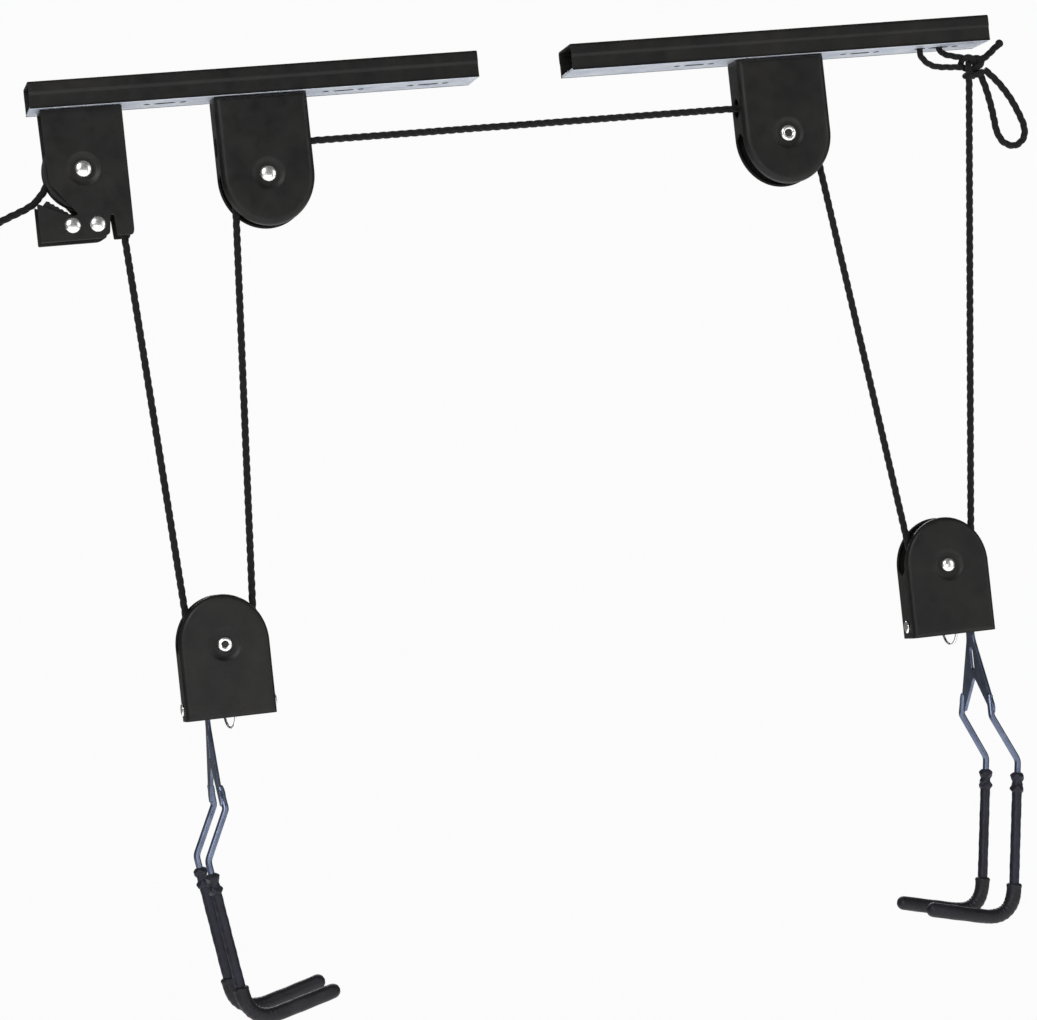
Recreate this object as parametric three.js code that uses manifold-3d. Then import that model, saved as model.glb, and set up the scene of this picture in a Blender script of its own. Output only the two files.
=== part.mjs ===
// A rope hoist that hangs under a ceiling: two slotted rails, three fixed pulley blocks (one of them locks the
// rope), two travelling pulley blocks with double hooks, and one rope reeved through all five wheels.
// Millimetres, +Z up, +X along the rails. The origin is on the ceiling plane, midway between the rails.
import * as THREE from 'three';
import { mergeVertices } from 'three/addons/utils/BufferGeometryUtils.js';
import Module from 'manifold-3d';

const wasm = await Module();
wasm.setup();

// ---- driving dimensions -------------------------------------------------------------------------------------
const GAP = 0.3; // air kept between touching pieces
const SHEET = 1.5; // steel sheet of rails, strips and shells

const RAIL = { length: 300, depth: 36, height: 18, gap: 65, lip: 3 };
const STRIP = { depth: 31, holes: [-60, 60, -118], slotLength: 14, slotWidth: 4.4, holeStep: 12 };
const ROPE_HOLES = { first: 104, second: 118, radius: 3.4 };

const ROPE = { radius: 2.5, sides: 8 };
const WHEEL = { pitch: 21, rim: 26, root: 18, halfWidth: 6, hub: 7, halfHub: 10.2, bore: 3.35, segments: 18 };
const AXLE = { radius: 3, head: 5.6, headHeight: 2 };

const BLOCK = { halfWidth: 30, halfDepth: 12, axleDrop: 71, roundRadius: 33 };
const LOCK = { x: -301.6, axleDrop: 58.6, left: -326, foot: -334, right: -272.5, bottom: -105 };
const FIXED_X = 180.5; // both plain fixed blocks hang this far from the middle
const TRAVELLER = { leftX: -242, rightX: 262, axleZ: -377, below: 48, barDrop: 40 };

const HOOK = {
  offset: 15, // the hook hangs this far outboard of its block's middle
  spread: 30, // each prong lies this far from the middle plane
  rod: 2.2,
  thinSleeve: 3.8,
  thickSleeve: 5.2,
  bore: 3.0,
  bend: 20,
};
const KNOT = { x: 323.5, z: -32, radius: 8 };

// ---- materials ----------------------------------------------------------------------------------------------
const paint = new THREE.MeshStandardMaterial({ color: 0x0c0c0d, roughness: 0.45, metalness: 0.1 });
const zinc = new THREE.MeshStandardMaterial({ color: 0xc4cdd9, roughness: 0.3, metalness: 1 });
const blueZinc = new THREE.MeshStandardMaterial({ color: 0x78849c, roughness: 0.3, metalness: 1 });
const nickel = new THREE.MeshStandardMaterial({ color: 0xe6e6e4, roughness: 0.2, metalness: 1 });
const nylon = new THREE.MeshStandardMaterial({ color: 0x1b1b1c, roughness: 0.5, metalness: 0 });
const cordage = new THREE.MeshStandardMaterial({ color: 0x080808, roughness: 0.9, metalness: 0 });
const vinyl = new THREE.MeshStandardMaterial({ color: 0x14151c, roughness: 0.6, metalness: 0 });

// ---- solids -------------------------------------------------------------------------------------------------
const model = new THREE.Group();

function place(name, geometry, material) {
  const mesh = new THREE.Mesh(geometry, material);
  mesh.name = name;
  model.add(mesh);
  return mesh;
}

function solidOf(geometry) {
  const bare = geometry.clone();
  bare.deleteAttribute('normal');
  bare.deleteAttribute('uv');
  const merged = mergeVertices(bare, 1e-4);
  return new wasm.Manifold(
    new wasm.Mesh({
      numProp: 3,
      vertProperties: new Float32Array(merged.attributes.position.array),
      triVerts: new Uint32Array(merged.index.array),
    })
  );
}

function geometryOf(solid) {
  const mesh = solid.getMesh();
  const geometry = new THREE.BufferGeometry();
  geometry.setAttribute('position', new THREE.BufferAttribute(new Float32Array(mesh.vertProperties), 3));
  geometry.setIndex(new THREE.BufferAttribute(new Uint32Array(mesh.triVerts), 1));
  geometry.computeVertexNormals();
  return geometry;
}

const join = (first, ...rest) => geometryOf(rest.reduce((sum, next) => sum.add(solidOf(next)), solidOf(first)));
const cut = (body, ...tools) => geometryOf(tools.reduce((left, tool) => left.subtract(solidOf(tool)), solidOf(body)));

function box(x0, x1, y0, y1, z0, z1) {
  const geometry = new THREE.BoxGeometry(x1 - x0, y1 - y0, z1 - z0);
  return geometry.translate((x0 + x1) / 2, (y0 + y1) / 2, (z0 + z1) / 2);
}

function cylinder(axis, radius, length, x, y, z, sides = 12) {
  const geometry = new THREE.CylinderGeometry(radius, radius, length, sides);
  if (axis === 'x') geometry.rotateZ(Math.PI / 2);
  if (axis === 'z') geometry.rotateX(Math.PI / 2);
  return geometry.translate(x, y, z);
}

// A lathed piece whose axis lies along Y; the profile is a list of [radius, y].
function turned(profile, x, z, segments) {
  const points = profile.map(([radius, y]) => new THREE.Vector2(radius, y));
  return new THREE.LatheGeometry(points, segments).translate(x, 0, z);
}

// A plate in an XZ outline, between two Y values.
function plate(shape, yNear, yFar, curveSegments = 10) {
  const depth = yFar - yNear;
  const geometry = new THREE.ExtrudeGeometry(shape, { depth, bevelEnabled: false, curveSegments });
  return geometry.rotateX(Math.PI / 2).translate(0, yFar, 0);
}

const outline = (points) => new THREE.Shape(points.map(([x, z]) => new THREE.Vector2(x, z)));

function ring(radius, sides, hole = 0) {
  const corner = (r, k) => new THREE.Vector2(r * Math.cos((k * 2 * Math.PI) / sides), r * Math.sin((k * 2 * Math.PI) / sides));
  const around = (r) => Array.from({ length: sides }, (_, k) => corner(r, k));
  const shape = new THREE.Shape(around(radius));
  if (hole) shape.holes.push(new THREE.Path(around(hole).reverse()));
  return shape;
}

function tube(path, steps, radius, sides = 8, hole = 0) {
  return new THREE.ExtrudeGeometry(ring(radius, sides, hole), { steps, extrudePath: path, bevelEnabled: false });
}

// A path through corner points, each inner corner rounded with its own radius.
function filleted(corners, radii) {
  const path = new THREE.CurvePath();
  let from = corners[0];
  for (let k = 1; k < corners.length - 1; k++) {
    const before = corners[k].clone().sub(corners[k - 1]).normalize();
    const after = corners[k + 1].clone().sub(corners[k]).normalize();
    const trim = radii[k - 1] * Math.tan(before.angleTo(after) / 2);
    const enter = corners[k].clone().addScaledVector(before, -trim);
    const leave = corners[k].clone().addScaledVector(after, trim);
    path.add(new THREE.LineCurve3(from, enter));
    path.add(new THREE.QuadraticBezierCurve3(enter, corners[k].clone(), leave));
    from = leave;
  }
  path.add(new THREE.LineCurve3(from, corners.at(-1)));
  return path;
}

// ---- rails with their slotted strips ------------------------------------------------------------------------
function addRail(side, centre, blocks) {
  const half = RAIL.length / 2;
  const [x0, x1] = [centre - half, centre + half];
  const wall = RAIL.depth / 2;
  const channel = join(
    box(x0, x1, -wall, wall, -SHEET, 0),
    box(x0, x1, -wall, -wall + SHEET, -RAIL.height, -SHEET / 2),
    box(x0, x1, wall - SHEET, wall, -RAIL.height, -SHEET / 2)
  );
  const screwHoles = STRIP.holes.map((offset) => cylinder('z', 3, 6 * SHEET, centre - offset, 0, 0));
  place(`${side}_rail`, cut(channel, ...screwHoles), paint);

  const openings = [];
  for (const offset of STRIP.holes) {
    const long = STRIP.slotLength / 2;
    const wide = STRIP.slotWidth / 2;
    const middle = centre - offset;
    openings.push(box(middle - long, middle + long, -wide, wide, -RAIL.height - 1, -RAIL.height + 3 * SHEET));
    for (const step of [-STRIP.holeStep, STRIP.holeStep]) {
      openings.push(cylinder('z', wide, 6 * SHEET, middle + step, 0, -RAIL.height, 8));
    }
  }
  if (side === 'right') {
    for (const offset of [ROPE_HOLES.first, ROPE_HOLES.second]) {
      openings.push(cylinder('z', ROPE_HOLES.radius, 6 * SHEET, centre + offset, 0, -RAIL.height, 10));
    }
  }
  for (const block of blocks) {
    for (const [x, y] of flangeScrews(block)) openings.push(cylinder('z', 2.4, 6 * SHEET, x, y, -RAIL.height, 8));
  }
  const width = STRIP.depth / 2;
  place(`${side}_slotted_strip`, cut(box(x0, x1, -width, width, -RAIL.height, -RAIL.height + SHEET), ...openings), zinc);
}

// Each fixed block is held by two screws, one through each shell's top flange.
const flangeScrews = (middle) => [
  [middle - 18, -6],
  [middle + 18, 6],
];

function addFlangeScrews(name, middle) {
  const under = -RAIL.height - GAP - SHEET;
  flangeScrews(middle).forEach(([x, y], index) => {
    const profile = [
      [0, -2.2],
      [2.6, -1.8],
      [4, -0.4],
      [4, 0],
      [2, 0],
      [2, 5.2],
      [0, 5.2],
    ];
    const screw = new THREE.LatheGeometry(profile.map(([radius, rise]) => new THREE.Vector2(radius, rise)), 10);
    place(`${name}_screw_${index + 1}`, screw.rotateX(Math.PI / 2).translate(x, y, under - GAP), nickel);
  });
}

// ---- wheels and axles ---------------------------------------------------------------------------------------
function addWheel(name, x, z) {
  const { rim, root, halfWidth, hub, halfHub, bore, segments } = WHEEL;
  const profile = [
    [bore, -halfHub],
    [hub, -halfHub],
    [hub, -halfWidth + 1],
    [rim - 4, -halfWidth + 1],
    [rim - 4, -halfWidth],
    [rim, -halfWidth],
    [rim, -halfWidth + 1.2],
    [root, -2.9],
    [root, 2.9],
    [rim, halfWidth - 1.2],
    [rim, halfWidth],
    [rim - 4, halfWidth],
    [rim - 4, halfWidth - 1],
    [hub, halfWidth - 1],
    [hub, halfHub],
    [bore, halfHub],
    [bore, -halfHub],
  ];
  place(name, turned(profile, x, z, segments), nylon);
}

function addAxle(name, x, z, radius = AXLE.radius, head = AXLE.head) {
  const seat = BLOCK.halfDepth + GAP;
  const end = seat + AXLE.headHeight;
  const profile = [
    [0, -end],
    [head * 0.75, -end],
    [head, -seat - 0.6],
    [head, -seat],
    [radius, -seat],
    [radius, seat],
    [head, seat],
    [head, seat + 0.6],
    [head * 0.75, end],
    [0, end],
  ];
  place(name, turned(profile, x, z, 12), nickel);
}

// ---- shells -------------------------------------------------------------------------------------------------
// Front shells face -Y and rear shells face +Y; the two meet at the middle plane with a gap.
function bothShells(name, build, openings) {
  const outer = BLOCK.halfDepth;
  for (const [label, facing] of [['front', -1], ['rear', 1]]) {
    const span = (a, b) => (facing < 0 ? [-b, -a] : [a, b]);
    const pieces = build(span, outer);
    place(`${name}_${label}_shell`, cut(join(...pieces), ...openings), paint);
  }
}

function fixedShells(name, middle) {
  const { halfWidth, axleDrop, roundRadius } = BLOCK;
  const top = -RAIL.height - GAP;
  const face = new THREE.Shape();
  face.moveTo(middle - halfWidth, top);
  face.lineTo(middle - halfWidth, -axleDrop);
  face.absellipse(middle, -axleDrop, halfWidth, roundRadius, Math.PI, 2 * Math.PI, false, 0);
  face.lineTo(middle + halfWidth, top);
  const build = (span, outer) => [
    plate(face, ...span(outer - SHEET, outer), 8),
    box(middle - halfWidth, middle + halfWidth, ...span(GAP / 2, outer - SHEET / 2), top - SHEET, top),
    box(middle - halfWidth, middle - halfWidth + SHEET, ...span(GAP / 2, outer - SHEET / 2), -axleDrop, top),
    box(middle + halfWidth - SHEET, middle + halfWidth, ...span(GAP / 2, outer - SHEET / 2), -axleDrop, top),
  ];
  bothShells(name, build, [
    cylinder('y', AXLE.radius + GAP, 40, middle, 0, -axleDrop),
    cylinder('x', 5, 80, middle, 0, -axleDrop + WHEEL.pitch, 10),
    ...flangeScrews(middle).map(([x, y]) => cylinder('z', 2.4, 6, x, y, top, 8)),
  ]);
  addAxle(`${name}_axle`, middle, -axleDrop);
  addFlangeScrews(name, middle);
}

const LOCK_RIVETS = [
  [-312.2, -95],
  [-295.9, -95.4],
];

function lockShells(name) {
  const top = -RAIL.height - GAP;
  const { left, right, foot, bottom, x, axleDrop } = LOCK;
  const face = outline([
    [left, top],
    [left + 1, -66],
    [-308, -88],
    [-312, -89],
    [foot, -79],
    [foot, bottom],
    [-294, bottom],
    [-288.5, bottom + 3],
    [-287, -90],
    [-285, -90],
    [-284, bottom + 1],
    [right - 3, bottom + 1],
    [right, bottom + 4],
    [right, top],
  ]);
  const middle = (left + right) / 2;
  const build = (span, outer) => [
    plate(face, ...span(outer - SHEET, outer)),
    box(left, right, ...span(GAP / 2, outer - SHEET / 2), top - SHEET, top),
    box(right - SHEET, right, ...span(GAP / 2, outer - SHEET / 2), bottom + 6, top),
  ];
  bothShells(name, build, [
    cylinder('y', AXLE.radius + GAP, 40, x, 0, -axleDrop),
    ...LOCK_RIVETS.map(([rx, rz]) => cylinder('y', AXLE.radius + GAP, 40, rx, 0, rz, 10)),
    ...flangeScrews(middle).map(([sx, sy]) => cylinder('z', 2.4, 6, sx, sy, top, 8)),
  ]);
  addAxle(`${name}_axle`, x, -axleDrop);
  LOCK_RIVETS.forEach(([rx, rz], index) => addAxle(`${name}_rivet_${index + 1}`, rx, rz, 3, 5.4));
  addFlangeScrews(name, middle);
}

// The jaw that nips the rope: a toothed wedge that tips on the first rivet.
function addJaw() {
  const [px, pz] = LOCK_RIVETS[0];
  const teeth = [];
  const [start, end, count] = [[-327.5, -77.5], [-311, -88.8], 6];
  for (let k = 0; k < count; k++) {
    const along = (share) => [start[0] + (end[0] - start[0]) * share, start[1] + (end[1] - start[1]) * share];
    teeth.push(along(k / count));
    const [tx, tz] = along((k + 0.75) / count);
    teeth.push([tx, tz + 0.9]);
  }
  const wedge = outline([...teeth, [px + 6, pz + 2], [px + 6, pz - 5], [px - 4, pz - 5], [-330.5, -92], [-331.5, -82]]);
  const bore = cylinder('y', AXLE.radius + GAP, 40, px, 0, pz, 12);
  place('lock_jaw', cut(plate(wedge, -8, 8), bore), paint);
}

function travellerShells(name, middle) {
  const { axleZ, below, barDrop } = TRAVELLER;
  const { halfWidth, roundRadius } = BLOCK;
  const bottom = axleZ - below;
  const face = new THREE.Shape();
  face.moveTo(middle - halfWidth, bottom);
  face.lineTo(middle + halfWidth, bottom);
  face.lineTo(middle + halfWidth, axleZ);
  face.absellipse(middle, axleZ, halfWidth, roundRadius, 0, Math.PI, false, 0);
  const build = (span, outer) => [
    plate(face, ...span(outer - SHEET, outer), 8),
    box(middle - halfWidth, middle - halfWidth + SHEET, ...span(GAP / 2, outer - SHEET / 2), bottom, axleZ),
    box(middle + halfWidth - SHEET, middle + halfWidth, ...span(GAP / 2, outer - SHEET / 2), bottom, axleZ),
  ];
  bothShells(name, build, [
    cylinder('y', AXLE.radius + GAP, 40, middle, 0, axleZ),
    cylinder('x', 2.9, 80, middle, 0, axleZ - barDrop, 10),
  ]);
  addAxle(`${name}_axle`, middle, axleZ, AXLE.radius, 4.8);

  const reach = halfWidth + GAP;
  const bar = new THREE.LatheGeometry(
    [
      [0, -reach - 1.5],
      [4.2, -reach - 1.5],
      [4.2, -reach],
      [2.5, -reach],
      [2.5, reach],
      [4.2, reach],
      [4.2, reach + 1.5],
      [0, reach + 1.5],
    ].map(([radius, x]) => new THREE.Vector2(radius, x)),
    10
  );
  place(`${name}_hook_bar`, bar.rotateZ(-Math.PI / 2).translate(middle, 0, axleZ - barDrop), nickel);

  const keeper = new THREE.TorusGeometry(6, 0.8, 6, 16);
  keeper.rotateX(Math.PI / 2).scale(1, 1, 1.7).rotateZ(-Math.PI / 3);
  place(`${name}_keeper_ring`, keeper.translate(middle, 0, axleZ - barDrop - 5), nickel);
}

// ---- double hooks -------------------------------------------------------------------------------------------
// s is +1 for a hook that opens towards +X, -1 for one that opens towards -X.
function addHook(name, blockX, s) {
  const px = blockX - s * HOOK.offset;
  const pz = TRAVELLER.axleZ - TRAVELLER.barDrop;
  const point = (u, y, z) => new THREE.Vector3(px + s * u, y, pz + z);

  // Narrow beside the block, so that the hook can swing between its side plates.
  const half = [
    [3.6, 4.8],
    [5.4, -1],
    [5.6, -8],
    [6.6, -14],
    [30.5, -60],
    [29, -64],
    [25.5, -64],
  ];
  const outline = [[0, 6], ...half.map(([y, z]) => [-y, z]), [0, -42], ...half.reverse()];
  const blank = new THREE.Shape(outline.map(([y, z]) => new THREE.Vector2(y, z)));
  const slot = new THREE.Path();
  slot.absarc(0, -32, 3, Math.PI, 2 * Math.PI, false);
  slot.absarc(0, -22, 3, 0, Math.PI, false);
  blank.holes.push(slot);
  const web = new THREE.ExtrudeGeometry(blank, { depth: 2, bevelEnabled: false, curveSegments: 4 });
  web.translate(0, 0, -1);
  web.applyMatrix4(new THREE.Matrix4().set(0, 0, 1, px, 1, 0, 0, 0, 0, 1, 0, pz, 0, 0, 0, 1));
  const eye = cylinder('x', 3.1, 10, px, 0, pz, 12);

  const rods = [];
  for (const [label, side] of [['front', -1], ['rear', 1]]) {
    const y = side * HOOK.spread;
    const kink = point(-13, y, -98);
    const elbow = point(3, y, -206);
    const tip = point(62, y, -191);
    const path = filleted([point(0, side * 26, -54), point(2, side * 29, -66), kink, elbow, tip], [4, 8, HOOK.bend]);
    rods.push(tube(path, 28, HOOK.rod, 8));

    const down = elbow.clone().sub(kink).normalize();
    const out = tip.clone().sub(elbow).normalize();
    const trim = HOOK.bend * Math.tan(down.angleTo(out) / 2);
    const top = kink.clone().addScaledVector(down, 9);
    const seam = elbow.clone().addScaledVector(down, -trim - 3);
    const thin = new THREE.LineCurve3(top, seam.clone().addScaledVector(down, -GAP));
    place(`${name}_${label}_sleeve`, tube(thin, 1, HOOK.thinSleeve, 8, HOOK.bore), vinyl);
    const beyond = tip.clone().addScaledVector(out, 2);
    place(`${name}_${label}_grip`, tube(filleted([seam, elbow, beyond], [HOOK.bend]), 12, HOOK.thickSleeve, 8, HOOK.bore), vinyl);
  }
  place(`${name}_frame`, join(cut(web, eye), ...rods), blueZinc);
}

// ---- rope ---------------------------------------------------------------------------------------------------
// The rope meets each wheel on a circle of the pitch radius. sense is +1 where it runs anticlockwise seen from
// the front (X to the right, Z up), and -1 where it runs clockwise.
const wheels = {
  lock: { x: LOCK.x, z: -LOCK.axleDrop, sense: -1 },
  leftTraveller: { x: TRAVELLER.leftX, z: TRAVELLER.axleZ, sense: 1 },
  left: { x: -FIXED_X, z: -BLOCK.axleDrop, sense: -1 },
  right: { x: FIXED_X, z: -BLOCK.axleDrop, sense: -1 },
  rightTraveller: { x: TRAVELLER.rightX, z: TRAVELLER.axleZ, sense: 1 },
};

// The heading of the straight run from one wheel to the next; a bare point has sense 0.
function heading(a, b) {
  const [dx, dz] = [b.x - a.x, b.z - a.z];
  return Math.atan2(dz, dx) + Math.asin((WHEEL.pitch * (a.sense - b.sense)) / Math.hypot(dx, dz));
}

function touch(wheel, direction) {
  const x = wheel.x + wheel.sense * WHEEL.pitch * Math.sin(direction);
  return new THREE.Vector3(x, 0, wheel.z - wheel.sense * WHEEL.pitch * Math.cos(direction));
}

class WheelArc extends THREE.Curve {
  constructor(wheel, first, last) {
    super();
    Object.assign(this, { wheel, first, last });
  }

  getPoint(t, target = new THREE.Vector3()) {
    return target.copy(touch(this.wheel, this.first + (this.last - this.first) * t));
  }
}

function addRun(name, a, b, trimStart = 0, trimEnd = 0) {
  const direction = heading(a, b);
  const [from, to] = [touch(a, direction), touch(b, direction)];
  const along = to.clone().sub(from).normalize();
  from.addScaledVector(along, GAP / 2 + trimStart);
  to.addScaledVector(along, -GAP / 2 - trimEnd);
  place(name, tube(new THREE.LineCurve3(from, to), 1, ROPE.radius, ROPE.sides), cordage);
}

function addWrap(name, before, wheel, after, steps) {
  const [first, last] = [heading(before, wheel), heading(wheel, after)];
  const turn = wheel.sense > 0 ? (last - first + 2 * Math.PI) % (2 * Math.PI) : -((first - last + 2 * Math.PI) % (2 * Math.PI));
  place(name, tube(new WheelArc(wheel, first, first + turn), steps, ROPE.radius, ROPE.sides), cordage);
}

// The free tail leaves the lock past the jaw, then runs down and away from the rails.
const TAIL_ROUTE = [
  [-331.5, -74.5],
  [-333.8, -76.8],
  [-337, -79],
  [-341, -81],
  [-346, -83],
  [-352, -85.3],
  [-358, -87.8],
  [-364, -90.3],
  [-370, -92.8],
  [-376, -95.3],
  [-382, -97.8],
  [-388, -100.3],
  [-392, -102],
];
const LOOP_ROUTE = [
  [329, -38.5],
  [331.5, -46],
  [333.5, -55],
  [335, -64],
  [336, -73],
  [337, -80],
  [341, -87.5],
  [349, -90.5],
  [356, -86],
  [357.5, -78],
  [354.5, -68],
  [349.5, -57],
  [343, -47],
  [336.5, -39.5],
  [332.5, -35.8],
];
const routeCurve = (points) => new THREE.CatmullRomCurve3(points.map(([x, z]) => new THREE.Vector3(x, 0, z)));

function addRope() {
  const { lock, leftTraveller, left, right, rightTraveller } = wheels;
  const anchor = { x: KNOT.x - 2, z: KNOT.z - 2, sense: 0 };

  const toLock = heading(lock, leftTraveller);
  const over = new THREE.CurvePath();
  const leave = Math.PI / 2 + 0.2;
  over.add(new WheelArc(lock, leave, toLock));
  const guide = touch(lock, leave);
  const out = new THREE.CatmullRomCurve3([
    new THREE.Vector3(TAIL_ROUTE[0][0] + GAP, 0, TAIL_ROUTE[0][1] + GAP),
    new THREE.Vector3(-328, 0, -70.5),
    new THREE.Vector3(-325.2, 0, -66),
    guide,
  ]);
  const lead = new THREE.CurvePath();
  lead.add(out);
  lead.add(over.curves[0]);
  place('lock_rope_wrap', tube(lead, 18, ROPE.radius, ROPE.sides), cordage);

  addRun('lock_rope_run', lock, leftTraveller);
  addWrap('left_traveller_rope_wrap', lock, leftTraveller, left, 12);
  addRun('left_rope_run', leftTraveller, left);

  const rise = heading(leftTraveller, left);
  const level = heading(left, right);
  const fall = heading(right, rightTraveller);
  const cross = new THREE.CurvePath();
  cross.add(new WheelArc(left, rise, level));
  cross.add(new THREE.LineCurve3(touch(left, level), touch(right, level)));
  cross.add(new WheelArc(right, level, fall));
  place('cross_rope', tube(cross, 48, ROPE.radius, ROPE.sides), cordage);

  addRun('right_rope_run', right, rightTraveller);
  addWrap('right_traveller_rope_wrap', right, rightTraveller, anchor, 12);
  addRun('end_rope_run', rightTraveller, anchor, 0, 9);

  const knot = new THREE.SphereGeometry(KNOT.radius, 12, 8).scale(0.95, 0.8, 0.95).translate(KNOT.x, 0, KNOT.z);
  const stub = new THREE.CatmullRomCurve3([
    new THREE.Vector3(KNOT.x + 3, 0, KNOT.z + 2),
    new THREE.Vector3(KNOT.x + 12, 0, KNOT.z + 6),
    new THREE.Vector3(KNOT.x + 18, 0, KNOT.z + 10),
    new THREE.Vector3(KNOT.x + 24, 0, KNOT.z + 15),
  ]);
  place('end_knot', join(knot, tube(stub, 6, ROPE.radius, ROPE.sides)), cordage);

  const railMiddle = (RAIL.gap + RAIL.length) / 2;
  const [near, far] = [railMiddle + ROPE_HOLES.second, railMiddle + ROPE_HOLES.first];
  const tie = new THREE.CatmullRomCurve3(
    [
      [KNOT.x - 6.5, KNOT.z + 6.8],
      [near + 4, -23],
      [near, -18],
      [near - 1.5, -12.5],
      [(near + far) / 2, -10.5],
      [far + 1.5, -12.5],
      [far, -18],
      [far + 1.5, -25],
      [far + 10, -31],
      [KNOT.x - 8.6, KNOT.z - 1],
    ].map(([x, z]) => new THREE.Vector3(x, 0, z))
  );
  place('end_tie', tube(tie, 18, ROPE.radius * 0.9, ROPE.sides), cordage);

  place('end_loop', tube(routeCurve(LOOP_ROUTE), 22, ROPE.radius, ROPE.sides), cordage);
  place('rope_tail', tube(routeCurve(TAIL_ROUTE), 14, ROPE.radius, ROPE.sides), cordage);
  const [endX, endZ] = TAIL_ROUTE.at(-1);
  const stopper = new THREE.SphereGeometry(6.5, 10, 8).scale(1.15, 1, 0.95).translate(endX - 7.6, 0, endZ - 3);
  place('tail_knot', stopper, cordage);
}

// ---- the hoist ----------------------------------------------------------------------------------------------
const railCentre = (RAIL.gap + RAIL.length) / 2;
addRail('left', -railCentre, [(LOCK.left + LOCK.right) / 2, -FIXED_X]);
addRail('right', railCentre, [FIXED_X]);
lockShells('lock');
fixedShells('left_block', -FIXED_X);
fixedShells('right_block', FIXED_X);
addJaw();
travellerShells('left_traveller', TRAVELLER.leftX);
travellerShells('right_traveller', TRAVELLER.rightX);
addWheel('lock_wheel', LOCK.x, -LOCK.axleDrop);
addWheel('left_block_wheel', -FIXED_X, -BLOCK.axleDrop);
addWheel('right_block_wheel', FIXED_X, -BLOCK.axleDrop);
addWheel('left_traveller_wheel', TRAVELLER.leftX, TRAVELLER.axleZ);
addWheel('right_traveller_wheel', TRAVELLER.rightX, TRAVELLER.axleZ);
addHook('left_hook', TRAVELLER.leftX, 1);
addHook('right_hook', TRAVELLER.rightX, -1);
addRope();

export default model;
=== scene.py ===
"""Looks of a two-rail ceiling rope hoist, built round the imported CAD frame.

Sizes are in millimetres, and MM turns them into metres."""
import math

import bmesh
import bpy
import numpy as np
from mathutils import Matrix, Vector


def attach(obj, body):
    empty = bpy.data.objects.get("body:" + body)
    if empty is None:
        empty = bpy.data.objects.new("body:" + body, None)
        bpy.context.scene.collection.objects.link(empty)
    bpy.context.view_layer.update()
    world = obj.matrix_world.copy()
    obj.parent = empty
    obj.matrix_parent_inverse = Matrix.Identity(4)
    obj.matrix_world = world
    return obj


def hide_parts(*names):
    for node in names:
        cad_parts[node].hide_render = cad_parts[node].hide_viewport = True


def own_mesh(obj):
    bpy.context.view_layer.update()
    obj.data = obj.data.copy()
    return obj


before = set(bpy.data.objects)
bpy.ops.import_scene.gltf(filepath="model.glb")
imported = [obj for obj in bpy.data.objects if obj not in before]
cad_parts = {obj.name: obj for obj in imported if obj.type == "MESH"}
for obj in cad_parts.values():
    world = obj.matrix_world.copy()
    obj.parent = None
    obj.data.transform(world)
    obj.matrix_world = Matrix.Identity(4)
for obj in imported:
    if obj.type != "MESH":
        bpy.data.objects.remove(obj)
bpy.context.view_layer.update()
MM = 0.001

# ---- driving dimensions, as in the CAD model ---------------------------------------------------
RAIL_LENGTH, RAIL_DEPTH, RAIL_HEIGHT, RAIL_GAP = 300, 36, 18, 65
STRIP_DEPTH, SHEET = 31, 1.5
STRIP_SLOTS = (-60, 60, -118)
SLOT_REACH, SLOT_RADIUS, SLOT_HOLE_STEP = 7, 2.2, 12
ROPE_HOLES, ROPE_HOLE_RADIUS = (104, 118), 3.4
FLANGE_GAP, MIDDLE_GAP = 0.3, 0.15
BLOCK_HALF, BLOCK_DEPTH, BLOCK_ROUND = 30, 12, 33
PITCH = 21
ROPE_RADIUS = 2.5
FIXED_X, FIXED_DROP = 180.5, 71
LOCK_X, LOCK_DROP = -301.6, 58.6
LOCK_RIVETS = ((-312.2, -95), (-295.9, -95.4))
TRAVELLER_X = {"left": -242, "right": 262}
TRAVELLER_Z, TRAVELLER_BELOW, BAR_DROP = -377, 48, 40
HOOK_OFFSET, HOOK_SPREAD, HOOK_BEND = 15, 30, 20
ROD, THIN_SLEEVE, GRIP = 2.2, 3.55, 5.2
KNOT = (323.5, -32)
SHARP_ANGLE, TUBE_SHARP_ANGLE = 38, 70
FLOOR_REACH, FLOOR_Z = 5000, -2000


# ---- mesh building -----------------------------------------------------------------------------
def new_object(name, vertices, faces, uvs=None, sharp=SHARP_ANGLE):
    """A shaded mesh from millimetre vertices; uvs gives one pair for each face corner."""
    mesh = bpy.data.meshes.new(name)
    mesh.from_pydata([tuple(MM * c for c in v) for v in vertices], [], faces)
    if uvs is not None:
        layer = mesh.uv_layers.new(name="UVMap")
        layer.data.foreach_set("uv", np.array(uvs, np.float32).ravel())
    finish_mesh(mesh, sharp)
    piece = bpy.data.objects.new(name, mesh)
    bpy.context.scene.collection.objects.link(piece)
    return piece


def finish_mesh(mesh, sharp=SHARP_ANGLE):
    work = bmesh.new()
    work.from_mesh(mesh)
    bmesh.ops.remove_doubles(work, verts=work.verts, dist=1e-6)
    bmesh.ops.recalc_face_normals(work, faces=work.faces)
    work.to_mesh(mesh)
    work.free()
    mesh.shade_smooth()
    mesh.set_sharp_from_angle(angle=math.radians(sharp))


def merged(name, parts):
    """One object made of several; the parts are deleted."""
    work = bmesh.new()
    for part in parts:
        data = part.data.copy()
        data.transform(part.matrix_world)
        work.from_mesh(data)
        bpy.data.objects.remove(part)
    mesh = bpy.data.meshes.new(name)
    work.to_mesh(mesh)
    work.free()
    mesh.shade_smooth()
    mesh.set_sharp_from_angle(angle=math.radians(SHARP_ANGLE))
    piece = bpy.data.objects.new(name, mesh)
    bpy.context.scene.collection.objects.link(piece)
    return piece


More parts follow.
